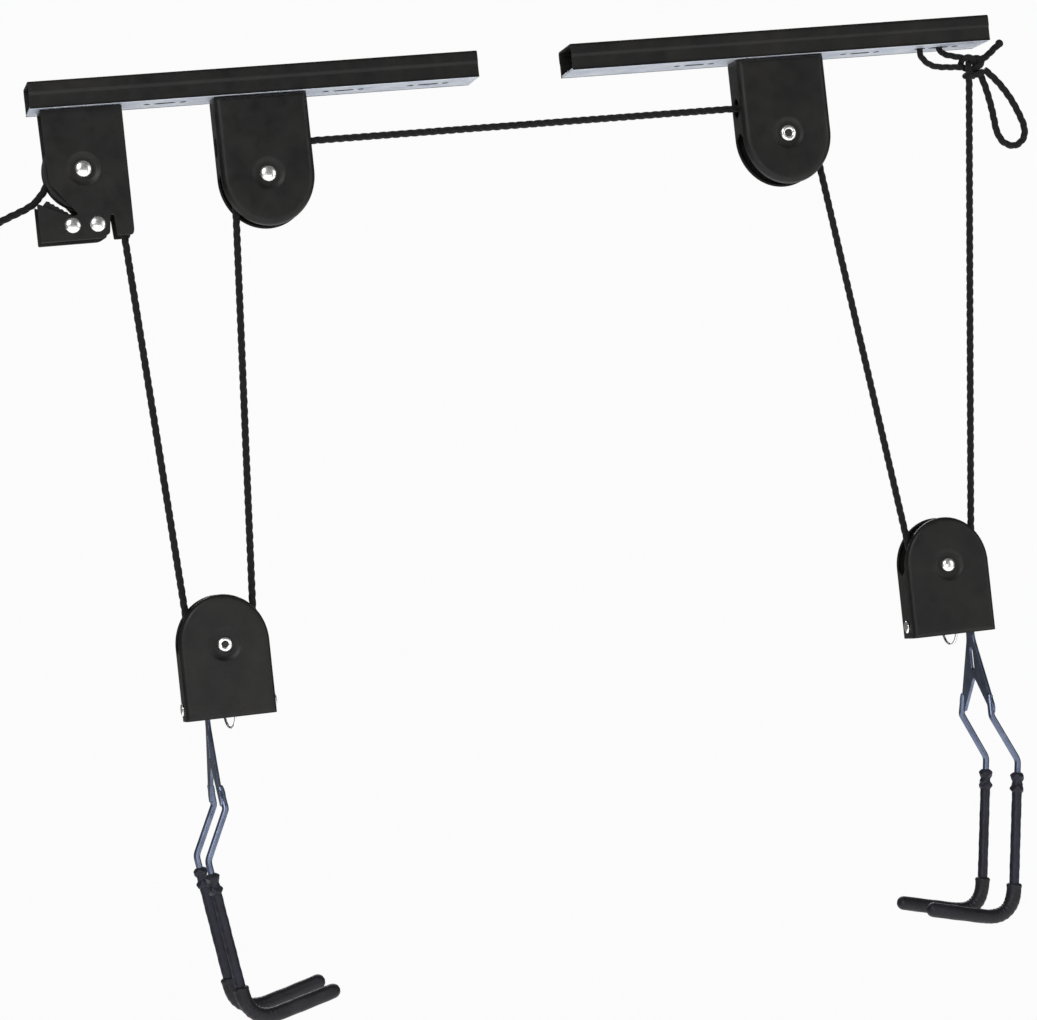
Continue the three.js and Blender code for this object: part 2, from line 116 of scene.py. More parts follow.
def applied(piece):
    """The piece with its modifiers applied."""
    bpy.context.view_layer.update()
    evaluated = piece.evaluated_get(bpy.context.evaluated_depsgraph_get())
    mesh = bpy.data.meshes.new_from_object(evaluated)
    piece.modifiers.clear()
    piece.data = mesh
    finish_mesh(mesh)
    return piece


def flat_plate(name, outline, thickness, bevel, axes, holes=()):
    """A plate with rounded edges.

    axes is a 4x4 matrix that takes its (across, up, thickness) to the frame."""
    curve = bpy.data.curves.new(name, "CURVE")
    curve.dimensions = "2D"
    curve.fill_mode = "BOTH"
    curve.extrude = MM * (thickness / 2 - bevel)
    curve.bevel_depth = MM * bevel
    curve.bevel_resolution = 2
    curve.offset = -MM * bevel
    for points in (outline, *holes):
        spline = curve.splines.new("POLY")
        spline.points.add(len(points) - 1)
        for target, (x, y) in zip(spline.points, points):
            target.co = (MM * x, MM * y, 0, 1)
        spline.use_cyclic_u = True
    source = bpy.data.objects.new(name, curve)
    bpy.context.scene.collection.objects.link(source)
    bpy.context.view_layer.update()
    mesh = bpy.data.meshes.new_from_object(source.evaluated_get(bpy.context.evaluated_depsgraph_get()))
    bpy.data.objects.remove(source)
    mesh.transform(axes)
    finish_mesh(mesh)
    piece = bpy.data.objects.new(name, mesh)
    bpy.context.scene.collection.objects.link(piece)
    return piece


def upright(y):
    """Axes for a plate that faces -Y, with its middle at y."""
    return Matrix(((1, 0, 0, 0), (0, 0, 1, MM * y), (0, 1, 0, 0), (0, 0, 0, 1)))


def level(z):
    """Axes for a plate that lies flat, with its middle at z."""
    return Matrix.Translation((0, 0, MM * z))


def across(x):
    """Axes for a plate that faces X, with its middle at x."""
    return Matrix(((0, 0, 1, MM * x), (1, 0, 0, 0), (0, 1, 0, 0), (0, 0, 0, 1)))


def circle(x, y, radius, count=32):
    turns = [2 * math.pi * k / count for k in range(count)]
    return [(x + radius * math.cos(a), y + radius * math.sin(a)) for a in turns]


def slot_outline(x, y, length, width, count=10):
    reach = length / 2 - width / 2
    right = [(x + reach + width / 2 * math.cos(a), y + width / 2 * math.sin(a))
             for a in np.linspace(-math.pi / 2, math.pi / 2, count)]
    return right + [(2 * x - px, 2 * y - py) for px, py in right]


def joined_opening(shapes, count=36):
    """The outline of overlapping slots on one line: each is (middle, half its length, end radius)."""
    low = min(middle - reach for middle, reach, _ in shapes)
    high = max(middle + reach for middle, reach, _ in shapes)
    xs = (low + high) / 2 - (high - low) / 2 * np.cos(np.linspace(0, math.pi, count))

    def half_height(x):
        past_straight = [(max(0.0, abs(x - middle) - (reach - r)), r) for middle, reach, r in shapes]
        return max(math.sqrt(max(0.0, r * r - past ** 2)) for past, r in past_straight)

    upper = [(x, half_height(x)) for x in xs]
    return upper + [(x, -y) for x, y in upper[-2:0:-1]]


def rounded(corners, radius, count=5):
    """A closed outline with each corner rounded; radius is one number or one for each corner."""
    points = []
    total = len(corners)
    for k, corner in enumerate(corners):
        here = Vector(corner)
        before = (Vector(corners[k - 1]) - here)
        after = (Vector(corners[(k + 1) % total]) - here)
        size = radius[k] if hasattr(radius, "__len__") else radius
        reach = min(size, 0.45 * before.length, 0.45 * after.length)
        start, end = here + before.normalized() * reach, here + after.normalized() * reach
        for t in np.linspace(0, 1, count):
            p = start * (1 - t) ** 2 + here * 2 * t * (1 - t) + end * t * t
            points.append((p.x, p.y))
    return points


AXIS_FRAMES = {
    "x": ((0, 1, 0), (0, 0, 1), (1, 0, 0)),
    "y": ((1, 0, 0), (0, 0, 1), (0, 1, 0)),
    "z": ((1, 0, 0), (0, 1, 0), (0, 0, 1)),
}


def lathe(name, profile, centre, axis="y", segments=48):
    """Turns a profile of (radius, distance along the axis); a closed ring if no radius is 0."""
    a, b, along = (Vector(v) for v in AXIS_FRAMES[axis])
    middle = Vector(centre)
    vertices, faces = [], []
    for radius, height in profile:
        for k in range(segments):
            turn = 2 * math.pi * k / segments
            vertices.append(middle + along * height + (a * math.cos(turn) + b * math.sin(turn)) * radius)
    rows = len(profile)
    closed = profile[0][0] > 0 and profile[-1][0] > 0
    for row in range(rows if closed else rows - 1):
        here, there = row * segments, ((row + 1) % rows) * segments
        for k in range(segments):
            n = (k + 1) % segments
            faces.append((here + k, here + n, there + n, there + k))
    return new_object(name, vertices, faces)


def soft_corners(profile, radius=0.4, count=3):
    """The profile with its inner corners rounded, and its ends kept."""
    points = [profile[0]]
    for before, here, after in zip(profile, profile[1:], profile[2:]):
        p, q, r = Vector(before), Vector(here), Vector(after)
        reach = min(radius, 0.45 * (p - q).length, 0.45 * (r - q).length)
        start, end = q + (p - q).normalized() * reach, q + (r - q).normalized() * reach
        for t in np.linspace(0, 1, count):
            s = start * (1 - t) ** 2 + q * 2 * t * (1 - t) + end * t * t
            points.append((s.x, s.y))
    return points + [profile[-1]]


# ---- swept pieces ------------------------------------------------------------------------------
def smooth_path(points, step):
    """Evenly spaced points on a Catmull-Rom curve through the given ones."""
    p = np.array(points, float)
    p = np.vstack([2 * p[0] - p[1], p, 2 * p[-1] - p[-2]])
    dense = []
    for k in range(1, len(p) - 2):
        for t in np.linspace(0, 1, 24, endpoint=False):
            dense.append(0.5 * (2 * p[k] + (p[k + 1] - p[k - 1]) * t
                                + (2 * p[k - 1] - 5 * p[k] + 4 * p[k + 1] - p[k + 2]) * t * t
                                + (3 * p[k] - p[k - 1] - 3 * p[k + 1] + p[k + 2]) * t ** 3))
    dense.append(p[-2])
    return evenly(np.array(dense), step)


def evenly(dense, step):
    lengths = np.concatenate([[0], np.cumsum(np.linalg.norm(np.diff(dense, axis=0), axis=1))])
    count = max(2, int(round(lengths[-1] / step)) + 1)
    at = np.linspace(0, lengths[-1], count)
    return np.stack([np.interp(at, lengths, dense[:, k]) for k in range(3)], 1)


def filleted_path(corners, radii, step):
    """Evenly spaced points along straight lines with rounded corners."""
    corners = [Vector(c) for c in corners]
    dense = [corners[0]]
    for before, here, after, radius in zip(corners, corners[1:], corners[2:], radii):
        into, out = (here - before).normalized(), (after - here).normalized()
        trim = radius * math.tan(into.angle(out) / 2)
        start, end = here - into * trim, here + out * trim
        dense += [start * (1 - t) ** 2 + here * 2 * t * (1 - t) + end * t * t
                  for t in np.linspace(0, 1, 16)]
    dense.append(corners[-1])
    return evenly(np.array([list(v) for v in dense]), step)


def frames_along(path):
    """A tangent and two normals at each point, carried along without twist."""
    tangents = np.gradient(path, axis=0)
    tangents /= np.linalg.norm(tangents, axis=1)[:, None]
    first = np.array([0.0, 1.0, 0.0])
    normal = first - tangents[0] * (first @ tangents[0])
    if np.linalg.norm(normal) < 0.1:
        normal = np.array([1.0, 0.0, 0.0]) - tangents[0] * tangents[0][0]
    normals = []
    for t in tangents:
        normal = normal - t * (normal @ t)
        normal = normal / np.linalg.norm(normal)
        normals.append(normal)
    normals = np.array(normals)
    return tangents, normals, np.cross(tangents, normals)


def sweep(name, path, radius_at, sides, uv_width=1.0):
    """A closed tube along a path. radius_at(distance, angles) gives the radii of one ring."""
    _, normals, binormals = frames_along(path)
    lengths = np.concatenate([[0], np.cumsum(np.linalg.norm(np.diff(path, axis=0), axis=1))])
    angles = np.linspace(0, 2 * np.pi, sides, endpoint=False)
    vertices, faces, uvs = [], [], []
    for point, n, b, s in zip(path, normals, binormals, lengths):
        radii = radius_at(s, angles) * np.ones(sides)
        ring = point + radii[:, None] * (np.cos(angles)[:, None] * n + np.sin(angles)[:, None] * b)
        vertices += [tuple(v) for v in ring]
    rows = len(path)
    for row in range(rows - 1):
        for k in range(sides):
            n = (k + 1) % sides
            here, there = row * sides, (row + 1) * sides
            faces.append((here + k, here + n, there + n, there + k))
            left, right = uv_width * k / sides, uv_width * (k + 1) / sides
            near, far = lengths[row], lengths[row + 1]
            uvs += [(left, near), (right, near), (right, far), (left, far)]
    for row in (0, rows - 1):
        faces.append(tuple(row * sides + k for k in range(sides)))
        uvs += [(uv_width * k / sides, lengths[row]) for k in range(sides)]
    return new_object(name, vertices, faces, uvs, TUBE_SHARP_ANGLE)


STRAND_PITCH = 19


def strand_radius(phase=0.0, radius=ROPE_RADIUS, ends=None):
    """Three strands laid together: a lobed section that turns as it goes."""
    def at(s, angles):
        turned = 1.5 * (angles + phase - 2 * math.pi * s / STRAND_PITCH)
        lobes = np.abs(np.cos(turned)) ** 0.65
        loose = 1 + 0.012 * math.sin(s * 0.83 + phase * 5) + 0.01 * math.sin(s * 2.1 + phase)
        shape = radius * (0.7 + 0.295 * lobes) * loose
        if ends:
            near = min(1.0, max(0.0, min(s, ends - s)) / 2.2)
            shape = shape * (0.35 + 0.65 * math.sqrt(1 - (1 - near) ** 2))
        return shape
    return at


def rope(name, path, phase=0.0, radius=ROPE_RADIUS, tapered=False):
    total = float(np.linalg.norm(np.diff(path, axis=0), axis=1).sum())
    strands = strand_radius(phase, radius, total if tapered else None)
    return sweep(name, path, strands, 24, 2 * math.pi * radius)


# ---- materials ---------------------------------------------------------------------------------
def new_material(name, colour, roughness, metallic=0.0, **sockets):
    material = bpy.data.materials.new(name)
    material.use_nodes = True
    shader = material.node_tree.nodes["Principled BSDF"]
    shader.inputs["Base Color"].default_value = (*colour, 1)
    shader.inputs["Roughness"].default_value = roughness
    shader.inputs["Metallic"].default_value = metallic
    for label, value in sockets.items():
        shader.inputs[label.replace("_", " ")].default_value = value
    return material, material.node_tree, shader


def node(tree, kind, **settings):
    made = tree.nodes.new(kind)
    for label, value in settings.items():
        if hasattr(made, label):
            setattr(made, label, value)
        else:
            made.inputs[label.replace("_", " ")].default_value = value
    return made


def coordinates(tree, scale, source="Object", rotation=(0, 0, 0)):
    place = node(tree, "ShaderNodeTexCoord")
    mapping = node(tree, "ShaderNodeMapping")
    mapping.inputs["Scale"].default_value = scale
    mapping.inputs["Rotation"].default_value = rotation
    tree.links.new(place.outputs[source], mapping.inputs["Vector"])
    return mapping.outputs["Vector"]


def noise(tree, vector, scale, detail=4, roughness=0.55):
    made = node(tree, "ShaderNodeTexNoise", Scale=scale, Detail=detail, Roughness=roughness)
    tree.links.new(vector, made.inputs["Vector"])
    return made.outputs["Fac"]


def remap(tree, value, low, high, to_low, to_high):
    made = node(tree, "ShaderNodeMapRange")
    for label, number in (("From Min", low), ("From Max", high), ("To Min", to_low), ("To Max", to_high)):
        made.inputs[label].default_value = number
    tree.links.new(value, made.inputs["Value"])
    return made.outputs["Result"]


def blend_colours(tree, factor, first, second):
    made = node(tree, "ShaderNodeMix", data_type="RGBA")
    made.inputs["A"].default_value = (*first, 1)
    made.inputs["B"].default_value = (*second, 1)
    tree.links.new(factor, made.inputs["Factor"])
    return made.outputs["Result"]


def add_bump(tree, shader, height, distance, strength=1.0, below=None):
    made = node(tree, "ShaderNodeBump", Strength=strength, Distance=distance)
    tree.links.new(height, made.inputs["Height"])
    if below is not None:
        tree.links.new(below, made.inputs["Normal"])
    tree.links.new(made.outputs["Normal"], shader.inputs["Normal"])
    return made.outputs["Normal"]


def edge_wear(tree, sharpness=(0.53, 0.6)):
    """High where an edge stands out, from the mesh's pointiness."""
    geometry = node(tree, "ShaderNodeNewGeometry")
    return remap(tree, geometry.outputs["Pointiness"], *sharpness, 0, 1)


def black_paint():
    material, tree, shader = new_material("satin_powder_coat", (0.005, 0.005, 0.005), 0.42, 0.0)
    shader.inputs["Specular IOR Level"].default_value = 0.32
    place = coordinates(tree, (1, 1, 1))
    cloud = noise(tree, place, 38, 5)
    patches = remap(tree, cloud, 0.35, 0.72, 0, 1)
    warm = blend_colours(tree, patches, (0.0022, 0.0022, 0.0024), (0.0075, 0.007, 0.0055))
    worn = node(tree, "ShaderNodeMix", data_type="RGBA")
    worn.inputs["B"].default_value = (0.016, 0.016, 0.0165, 1)
    tree.links.new(edge_wear(tree, (0.56, 0.66)), worn.inputs["Factor"])
    tree.links.new(warm, worn.inputs["A"])
    tree.links.new(worn.outputs["Result"], shader.inputs["Base Color"])
    satin = remap(tree, noise(tree, place, 120, 3), 0.3, 0.7, 0.36, 0.52)
    tree.links.new(satin, shader.inputs["Roughness"])
    grain = noise(tree, place, 1500, 2)
    add_bump(tree, shader, grain, 0.00012, 0.35)
    return material


def zinc(name, dark, light, metallic):
    material, tree, shader = new_material(name, light, 0.34, metallic)
    place = coordinates(tree, (1, 1, 1))
    tint = remap(tree, noise(tree, place, 60, 5), 0.3, 0.7, 0, 1)
    tree.links.new(blend_colours(tree, tint, dark, light), shader.inputs["Base Color"])
    drawn = coordinates(tree, (60, 2500, 2500))
    streaks = noise(tree, drawn, 1.0, 3)
    tree.links.new(remap(tree, streaks, 0.3, 0.7, 0.26, 0.42), shader.inputs["Roughness"])
    add_bump(tree, shader, noise(tree, place, 900, 3), 0.00008, 0.3)
    return material


def bright_rivet():
    material, tree, shader = new_material("bright_rivet_steel", (0.9, 0.9, 0.88), 0.22, 1.0)
    place = coordinates(tree, (1, 1, 1))
    spots = remap(tree, noise(tree, place, 300, 4), 0.56, 0.72, 0, 1)
    colour = blend_colours(tree, spots, (0.95, 0.95, 0.93), (0.6, 0.6, 0.6))
    tree.links.new(colour, shader.inputs["Base Color"])
    tree.links.new(remap(tree, noise(tree, place, 500, 3), 0.3, 0.7, 0.2, 0.32), shader.inputs["Roughness"])
    add_bump(tree, shader, noise(tree, place, 700, 2), 0.00004, 0.2)
    return material


def wheel_nylon():
    material, tree, shader = new_material("moulded_nylon", (0.007, 0.007, 0.0075), 0.5, 0.0)
    shader.inputs["Specular IOR Level"].default_value = 0.3
    place = coordinates(tree, (1, 1, 1))
    tree.links.new(remap(tree, noise(tree, place, 200, 4), 0.3, 0.7, 0.42, 0.6), shader.inputs["Roughness"])
    add_bump(tree, shader, noise(tree, place, 1300, 2), 0.0001, 0.3)
    return material


def rope_fibre():
    material, tree, shader = new_material("polypropylene_rope", (0.004, 0.004, 0.004), 0.72, 0.0)
    shader.inputs["Specular IOR Level"].default_value = 0.25
    shader.inputs["Sheen Weight"].default_value = 0.05
    shader.inputs["Sheen Roughness"].default_value = 0.45
    slant = math.atan2(2 * math.pi * ROPE_RADIUS, STRAND_PITCH)
    fibres = noise(tree, coordinates(tree, (9, 0.55, 1), "UV", (0, 0, -slant)), 1.0, 4, 0.65)
    tree.links.new(blend_colours(tree, remap(tree, fibres, 0.35, 0.7, 0, 1), (0.0012, 0.0012, 0.0014),
                                 (0.0055, 0.0055, 0.006)), shader.inputs["Base Color"])
    tree.links.new(remap(tree, fibres, 0.3, 0.7, 0.85, 0.55), shader.inputs["Roughness"])
    add_bump(tree, shader, fibres, 0.00035, 0.8)
    return material


def vinyl(name, dark, light, roughness, wrinkle):
    material, tree, shader = new_material(name, dark, roughness, 0.0, Specular_IOR_Level=0.35)
    place = coordinates(tree, (1, 1, 1))
    cloud = remap(tree, noise(tree, place, 70, 5), 0.32, 0.7, 0, 1)
    tree.links.new(blend_colours(tree, cloud, dark, light), shader.inputs["Base Color"])
    tree.links.new(remap(tree, noise(tree, place, 160, 4), 0.3, 0.7, roughness - 0.1, roughness + 0.12),
                   shader.inputs["Roughness"])
    creases = noise(tree, coordinates(tree, (180, 180, 420)), 1.0, 5)
    fine = add_bump(tree, shader, noise(tree, place, 1600, 2), 0.0001, 0.3)
    add_bump(tree, shader, creases, wrinkle, 0.6, fine)
    return material


MATERIALS = {
    # painted shade: a near-black colour put on the walls of the strip's slots and holes and inside the open
    # ends of the hollow rivets, standing in for the shade that falls there
    "painted_shade": new_material("painted_hole_shade", (0.012, 0.012, 0.014), 0.6)[0],
    "black_paint": black_paint(),
    "zinc_plate": zinc("bright_zinc", (0.56, 0.62, 0.74), (0.8, 0.84, 0.9), 0.6),
    "blue_zinc": zinc("blue_passivated_zinc", (0.075, 0.092, 0.15), (0.21, 0.25, 0.35), 1.0),
    "bright_rivet": bright_rivet(),
    "wheel_nylon": wheel_nylon(),
    "rope": rope_fibre(),
    "thin_sleeve": vinyl("thin_vinyl", (0.0028, 0.0028, 0.007), (0.008, 0.008, 0.02), 0.45, 0.0003),
    "soft_grip": vinyl("soft_vinyl", (0.003, 0.003, 0.005), (0.007, 0.007, 0.012), 0.5, 0.0004),
}


def finish_piece(piece, body, slot, *replaced):
    """Paints a piece, makes it ride, and hides the CAD nodes that it stands for."""
    piece.data.materials.clear()
    piece.data.materials.append(MATERIALS[slot])
    if slot in ("black_paint", "zinc_plate", "blue_zinc"):
        even = piece.modifiers.new("even_shading", "WEIGHTED_NORMAL")
        even.keep_sharp = True
    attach(piece, body)
    if replaced:
        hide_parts(*replaced)
    return piece


# ---- camera, light and floor -------------------------------------------------------------------
def add_camera():
    azimuth, elevation, roll = math.radians(-13), math.radians(-1), math.radians(-6.1)
    distance, focus = 2200, Vector((-33.5, 0, -309))
    pixels_per_mm, frame_width = 1.486, 1037
    back = Vector((math.sin(azimuth) * math.cos(elevation), -math.cos(azimuth) * math.cos(elevation),
                   math.sin(elevation)))
    right = Vector((0, 0, 1)).cross(back).normalized()
    up = back.cross(right)
    tilted_right = right * math.cos(roll) + up * math.sin(roll)
    tilted_up = up * math.cos(roll) - right * math.sin(roll)
    data = bpy.data.cameras.new("camera")
    data.sensor_width = 36
    data.lens = pixels_per_mm * distance * data.sensor_width / frame_width
    data.clip_start, data.clip_end = 0.05, 60
    camera = bpy.data.objects.new("camera", data)
    bpy.context.scene.collection.objects.link(camera)
    place = (focus + back * distance) * MM
    camera.matrix_world = Matrix((
        (tilted_right.x, tilted_up.x, back.x, place.x),
        (tilted_right.y, tilted_up.y, back.y, place.y),
        (tilted_right.z, tilted_up.z, back.z, place.z),
        (0, 0, 0, 1),
    ))
    bpy.context.scene.camera = camera


def add_light(name, place, energy, size, target=(0, 0, -0.3)):
    data = bpy.data.lights.new(name, "AREA")
    data.energy = energy
    data.shape = "RECTANGLE"
    data.size, data.size_y = size
    lamp = bpy.data.objects.new(name, data)
    lamp.location = place
    lamp.rotation_mode = "QUATERNION"
    lamp.rotation_quaternion = (Vector(target) - Vector(place)).to_track_quat("-Z", "Y")
    bpy.context.scene.collection.objects.link(lamp)


def add_studio():
    world = bpy.data.worlds.new("studio")
    world.use_nodes = True
    background = world.node_tree.nodes["Background"]
    background.inputs["Color"].default_value = (1, 1, 1, 1)
    rays = node(world.node_tree, "ShaderNodeLightPath")
    seen, reflected = 0.97, 0.15
    dim = remap(world.node_tree, rays.outputs["Is Glossy Ray"], 0, 1, seen, reflected)
    world.node_tree.links.new(dim, background.inputs["Strength"])
    bpy.context.scene.world = world
    bpy.context.scene.view_settings.view_transform = "Standard"
    add_light("key", (-2.6, -4.2, 2.2), 120, (2.4, 2.4))
    add_light("fill", (3.6, -3.4, 0.2), 40, (2.6, 2.6))
    add_light("rim", (0.8, 4.2, 2.0), 80, (3.2, 1.6))
    add_light("under", (-0.4, -2.4, -0.6), 10, (2.4, 0.5))
    corners = [(x * FLOOR_REACH, y * FLOOR_REACH, FLOOR_Z) for x, y in ((-1, -1), (1, -1), (1, 1), (-1, 1))]
    floor = new_object("floor", corners, [(0, 1, 2, 3)])
    floor.data.materials.append(new_material("pale_floor", (0.93, 0.93, 0.93), 0.7)[0])


add_camera()
add_studio()

# ---- rope --------------------------------------------------------------------------------------
WHEELS = {
    "lock": (LOCK_X, -LOCK_DROP, -1),
    "left_traveller": (TRAVELLER_X["left"], TRAVELLER_Z, 1),
    "left_block": (-FIXED_X, -FIXED_DROP, -1),
    "right_block": (FIXED_X, -FIXED_DROP, -1),
    "right_traveller": (TRAVELLER_X["right"], TRAVELLER_Z, 1),
    "anchor": (KNOT[0] - 2, KNOT[1] - 2, 0),
}
TAIL_ROUTE = [(-331.5, -74.5), (-333.8, -76.8), (-337, -79), (-341, -81), (-346, -83),
              (-352, -85.3), (-358, -87.8), (-364, -90.3), (-370, -92.8), (-376, -95.3),
              (-382, -97.8), (-388, -100.3), (-392, -102)]
LOOP_ROUTE = [(329, -38.5), (331.5, -46), (333.5, -55), (335, -64), (336, -73), (337, -80),
              (341, -87.5), (349, -90.5), (356, -86), (357.5, -78), (354.5, -68), (349.5, -57),
              (343, -47), (336.5, -39.5), (332.5, -35.8)]
ROPE_STEP = 0.9


def heading(first, second):
    """The angle of the straight run from one wheel to the next."""
    (ax, az, a_sense), (bx, bz, b_sense) = WHEELS[first], WHEELS[second]
    dx, dz = bx - ax, bz - az
    return math.atan2(dz, dx) + math.asin(PITCH * (a_sense - b_sense) / math.hypot(dx, dz))


def touch(wheel, direction):
    x, z, sense = WHEELS[wheel]
    return (x + sense * PITCH * math.sin(direction), 0, z - sense * PITCH * math.cos(direction))


def arc(wheel, first, last, count=40):
    return [touch(wheel, a) for a in np.linspace(first, last, count)]


def in_plane(points):
    return [(x, 0, z) for x, z in points]


def add_free_cords():
    tail_path = smooth_path(in_plane(TAIL_ROUTE), ROPE_STEP)
    tail = finish_piece(rope("tail_of_rope", tail_path, 0.4), "rails", "rope", "rope_tail")
    stopper = knot("stopper_knot", (-399.2, 0, -105), (7.0, 5.2, 5.6), 0.3)
    finish_piece(stopper, "rails", "rope", "tail_knot")
    loop_path = smooth_path(in_plane(LOOP_ROUTE), ROPE_STEP)
    loop = finish_piece(rope("knot_loop", loop_path, 1.1), "rails", "rope", "end_loop")


def knot(name, centre, size, phase):
    """A tightened overhand knot: a three-lobed loop of rope round its own middle."""
    turns = np.linspace(0, 2 * math.pi, 90)
    shape = np.stack([np.sin(turns) + 2 * np.sin(2 * turns), -np.sin(3 * turns) * 1.9,
                      np.cos(turns) - 2 * np.cos(2 * turns)], 1) / 3
    path = np.array(centre) + shape * (np.array(size) - ROPE_RADIUS * np.array((0.45, 0.6, 0.45)))
    return rope(name, evenly(path, 0.7), phase, ROPE_RADIUS * 0.92)


def add_rope_run(name, first, second, trim=0.0):
    direction = heading(first, second)
    start, end = np.array(touch(first, direction)), np.array(touch(second, direction))
    if trim:
        end = end - (end - start) / np.linalg.norm(end - start) * trim
    piece = rope(name, evenly(np.array([start, end]), ROPE_STEP), 0.7 * len(name))
    replaced = {"lock": "lock_rope_run", "left_traveller": "left_rope_run",
                "right_block": "right_rope_run", "right_traveller": "end_rope_run"}[first]
    finish_piece(piece, "rails", "rope", replaced)
    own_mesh(piece)


def add_held_rope():
    leave = math.pi / 2 + 0.2
    lead = smooth_path([(-331.2, 0, -74.2), (-328, 0, -70.5), (-325.2, 0, -66), touch("lock", leave)], 0.5)
    over = arc("lock", leave, heading("lock", "left_traveller"))
    wrap = evenly(np.vstack([lead, np.array(over[1:])]), ROPE_STEP)
    finish_piece(rope("rope_over_lock_wheel", wrap, 0.9), "rails", "rope", "lock_rope_wrap")

    for side, before, after in (("left", "lock", "left_block"), ("right", "right_block", "anchor")):
        wheel = f"{side}_traveller"
        first, last = heading(before, wheel), heading(wheel, after)
        turn = (last - first) % (2 * math.pi)
        path = evenly(np.array(arc(wheel, first, first + turn)), ROPE_STEP)
        finish_piece(rope(f"{side}_rope_under_wheel", path, 0.2), wheel, "rope", f"{wheel}_rope_wrap")

    rise, flat = heading("left_traveller", "left_block"), heading("left_block", "right_block")
    fall = heading("right_block", "right_traveller")
    path = arc("left_block", rise, flat) + arc("right_block", flat, fall)
    finish_piece(rope("rope_across", evenly(np.array(path), ROPE_STEP), 0.1), "rails", "rope", "cross_rope")

    add_rope_run("lock_side_rope", "lock", "left_traveller")
    add_rope_run("left_rope", "left_traveller", "left_block")
    add_rope_run("right_rope", "right_block", "right_traveller")
    add_rope_run("tied_rope", "right_traveller", "anchor", 6)


def add_end_knot():
    x, z = KNOT
    body = knot("end_knot_turns", (x, 0, z), (8.8, 6.6, 8.8), 1.3)
    turns = np.linspace(0, 2 * math.pi, 50)
    collar_path = [(x + 1 + 6.2 * math.cos(a), 4.3 * math.sin(a), z - 6.5 + 1.6 * math.sin(a + 0.8))
                   for a in turns]
    collar = rope("end_knot_collar", evenly(np.array(collar_path), 0.7), 0.5, ROPE_RADIUS * 0.9)
    stub_route = [(x + 3, z + 2), (x + 11, z + 5), (x + 17, z + 9.5), (x + 23.5, z + 14.5)]
    stub_path = smooth_path(in_plane(stub_route), 0.7)
    stub = rope("end_knot_stub", stub_path, 0.2, ROPE_RADIUS)
    tip_route = [(x + 20.4, z + 12.2), (x + 22.4, z + 13.8), (x + 24.4, z + 15.4)]
    tip = sweep("end_knot_tip", smooth_path(in_plane(tip_route), 0.3),
                lambda s, angles: 2.9 * math.sqrt(max(0.02, 1 - ((s - 2.5) / 2.7) ** 2)), 20)
    finish_piece(merged("tied_end_knot", [body, collar, stub, tip]), "rails", "rope", "end_knot")
    middle = (RAIL_GAP + RAIL_LENGTH) / 2
    far, near = (middle + offset for offset in ROPE_HOLES)
    route = [(x - 5.5, z + 5.5), (near + 4, -23), (near, -18), (near - 1.5, -12.5),
             ((near + far) / 2, -10.5), (far + 1.5, -12.5), (far, -18), (far + 1.5, -25),
             (far + 10, -31), (x - 7.5, z - 1)]
    tie = rope("tie_through_strip", smooth_path(in_plane(route), ROPE_STEP), 0.6, ROPE_RADIUS * 0.9)
    finish_piece(tie, "rails", "rope", "end_tie")


add_free_cords()
add_held_rope()
add_end_knot()


# ---- rails -------------------------------------------------------------------------------------
def add_rail(side, middle):
    half, wall = RAIL_LENGTH / 2, RAIL_DEPTH / 2
    jog, low = -7.5, -RAIL_HEIGHT
    outer = [(-wall, 0), (wall, 0), (wall, jog), (wall - 0.8, jog - 1.4),
             (wall - 0.8, low + 1.2), (wall - 0.2, low)]
    inner = [(wall - 1.7, low), (wall - 2.3, low + 1.6), (wall - 2.3, jog - 1.6),
             (wall - 1.5, jog), (wall - 1.5, -SHEET)]
    right = outer[1:] + inner
    corners = right + [(-y, z) for y, z in reversed(right)]
    radii = [2.6 if abs(z) < 0.1 else 1.2 for _, z in corners]
    radii = [r if abs(z + SHEET) > 0.1 else 1.4 for r, (_, z) in zip(radii, corners)]
    bar = flat_plate(f"{side}_rail_body", rounded(corners, radii), RAIL_LENGTH, 0.25, across(middle))
    for offset in STRIP_SLOTS:
        drill = lathe("drill", [(0, -5), (3, -5), (3, 5), (0, 5)], (middle - offset, 0, 0), "z", 32)
        cut = bar.modifiers.new("hole", "BOOLEAN")
        cut.object, cut.operation, cut.solver = drill, "DIFFERENCE", "EXACT"
        applied(bar)
        bpy.data.objects.remove(drill)
    bar.name = f"{side}_rail_channel"
    finish_piece(bar, "rails", "black_paint", f"{side}_rail")

    reach = STRIP_DEPTH / 2
    holes = []
    tied = ROPE_HOLES if side == "right" else ()
    rope_holes = [(middle + place, ROPE_HOLE_RADIUS, ROPE_HOLE_RADIUS) for place in tied]
    for offset in STRIP_SLOTS:
        x = middle - offset
        slot = (x, SLOT_REACH, SLOT_RADIUS)
        near, far = ((x + step, SLOT_RADIUS, SLOT_RADIUS) for step in (-SLOT_HOLE_STEP, SLOT_HOLE_STEP))
        for opening in (slot, near, far):
            crossing = [hole for hole in rope_holes if abs(hole[0] - opening[0]) < 4]
            holes.append(joined_opening([opening, *crossing]))
    edge = rounded([(middle - half, -reach), (middle + half, -reach),
                    (middle + half, reach), (middle - half, reach)], 1.5)
    strip = flat_plate(f"{side}_strip", edge, SHEET, 0.25, level(-RAIL_HEIGHT + SHEET / 2), holes)
    finish_piece(strip, "rails", "zinc_plate", f"{side}_slotted_strip")
    # The walls of the slots and rope holes get the painted shade colour, standing in for the shade inside
    # them; the real walls are zinc plated like the rest of the strip.
    strip.data.materials.append(MATERIALS["painted_shade"])
    for face in strip.data.polygons:
        x, y = face.center.x / MM - middle, face.center.y / MM
        if abs(face.normal.z) < 0.8 and abs(x) < half - 2 and abs(y) < reach - 2:
            face.material_index = 1


for side, sign in (("left", -1), ("right", 1)):
    add_rail(side, sign * (RAIL_GAP + RAIL_LENGTH) / 2)


